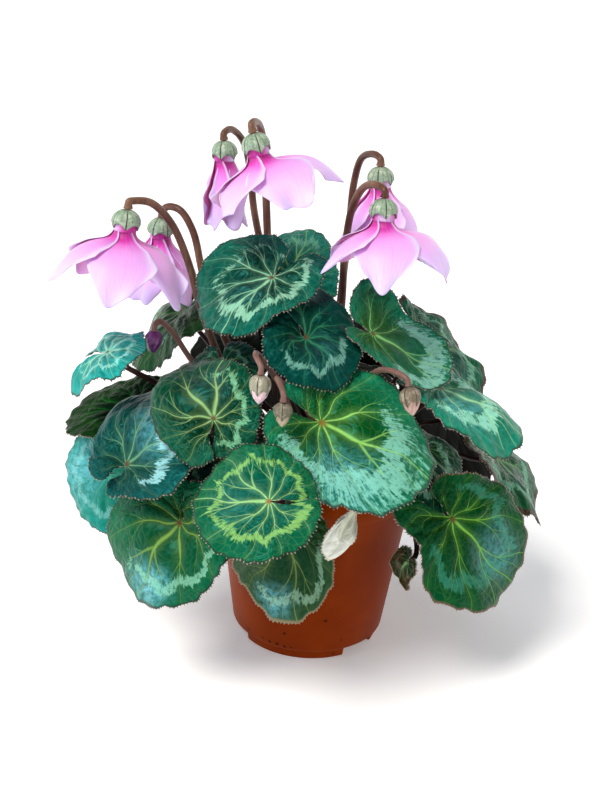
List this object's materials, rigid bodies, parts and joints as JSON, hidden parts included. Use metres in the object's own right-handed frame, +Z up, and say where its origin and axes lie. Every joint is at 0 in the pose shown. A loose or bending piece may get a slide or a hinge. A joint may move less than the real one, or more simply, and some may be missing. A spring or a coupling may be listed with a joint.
{
  "type": "potted cyclamen",
  "caption": "Potted cyclamen: a mound of toothed, silver-patterned heart-shaped leaves over a tapered plastic pot, with nodding pink flowers and buds on curved stalks.",
  "frame": {"origin": "on the surface that the pot stands on, under the middle of the pot", "axes": "+Z up; -Y towards the side that the picture shows from the front; +X to that viewer's right"},
  "size_m": [0.2662, 0.2631, 0.2933],
  "materials": {
    "pot": "satin terracotta-coloured plastic with crumbs of dry soil near the foot",
    "soil": "moist crumbly peat",
    "leaf_stalk": "fleshy, reddish brown, paler towards the blade",
    "leaf": "waxy dark green with a feathery silver band and pale forked veins, dull purple beneath",
    "flower_stalk": "fleshy, brown to maroon",
    "calyx": "pale grey-green sepals with dark lines",
    "petal": "satin pink, paler towards the edge, magenta at the mouth",
    "bud_stalk": "fleshy, brown",
    "bud_calyx": "pale green",
    "bud_petal": "furled, pale pink to white",
    "young_leaf": "furled, dark purple"
  },
  "bodies": {
    "root": {"pot": "pot", "soil": "soil", "corm_and_leaf_stalks": "leaf_stalk", "leaf_01": "leaf", "leaf_02": "leaf", "leaf_03": "leaf", "leaf_04": "leaf", "leaf_05": "leaf", "leaf_06": "leaf", "leaf_07": "leaf", "leaf_08": "leaf", "leaf_09": "leaf", "leaf_10": "leaf", "leaf_11": "leaf", "leaf_12": "leaf", "leaf_13": "leaf", "leaf_14": "leaf", "leaf_15": "leaf", "leaf_16": "leaf", "leaf_17": "leaf", "leaf_18": "leaf", "leaf_19": "leaf", "leaf_20": "leaf", "leaf_21": "leaf", "leaf_22": "leaf", "leaf_23": "leaf", "leaf_24": "leaf", "leaf_25": "leaf", "leaf_26": "leaf", "leaf_27": "leaf", "leaf_28": "leaf", "leaf_29": "leaf", "flower_1_stalk": "flower_stalk", "flower_1_calyx": "calyx", "flower_1_petals": "petal", "flower_2_stalk": "flower_stalk", "flower_2_calyx": "calyx", "flower_2_petals": "petal", "flower_3_stalk": "flower_stalk", "flower_3_calyx": "calyx", "flower_3_petals": "petal", "flower_4_stalk": "flower_stalk", "flower_4_calyx": "calyx", "flower_4_petals": "petal", "flower_5_stalk": "flower_stalk", "flower_5_calyx": "calyx", "flower_5_petals": "petal", "flower_6_stalk": "flower_stalk", "flower_6_calyx": "calyx", "flower_6_petals": "petal", "bud_1_stalk": "bud_stalk", "bud_1_calyx": "bud_calyx", "bud_1_petals": "bud_petal", "bud_2_stalk": "bud_stalk", "bud_2_calyx": "bud_calyx", "bud_2_petals": "bud_petal", "bud_3_stalk": "bud_stalk", "bud_3_calyx": "bud_calyx", "bud_3_petals": "bud_petal", "young_leaf": "young_leaf"}
  },
  "joints": []
}
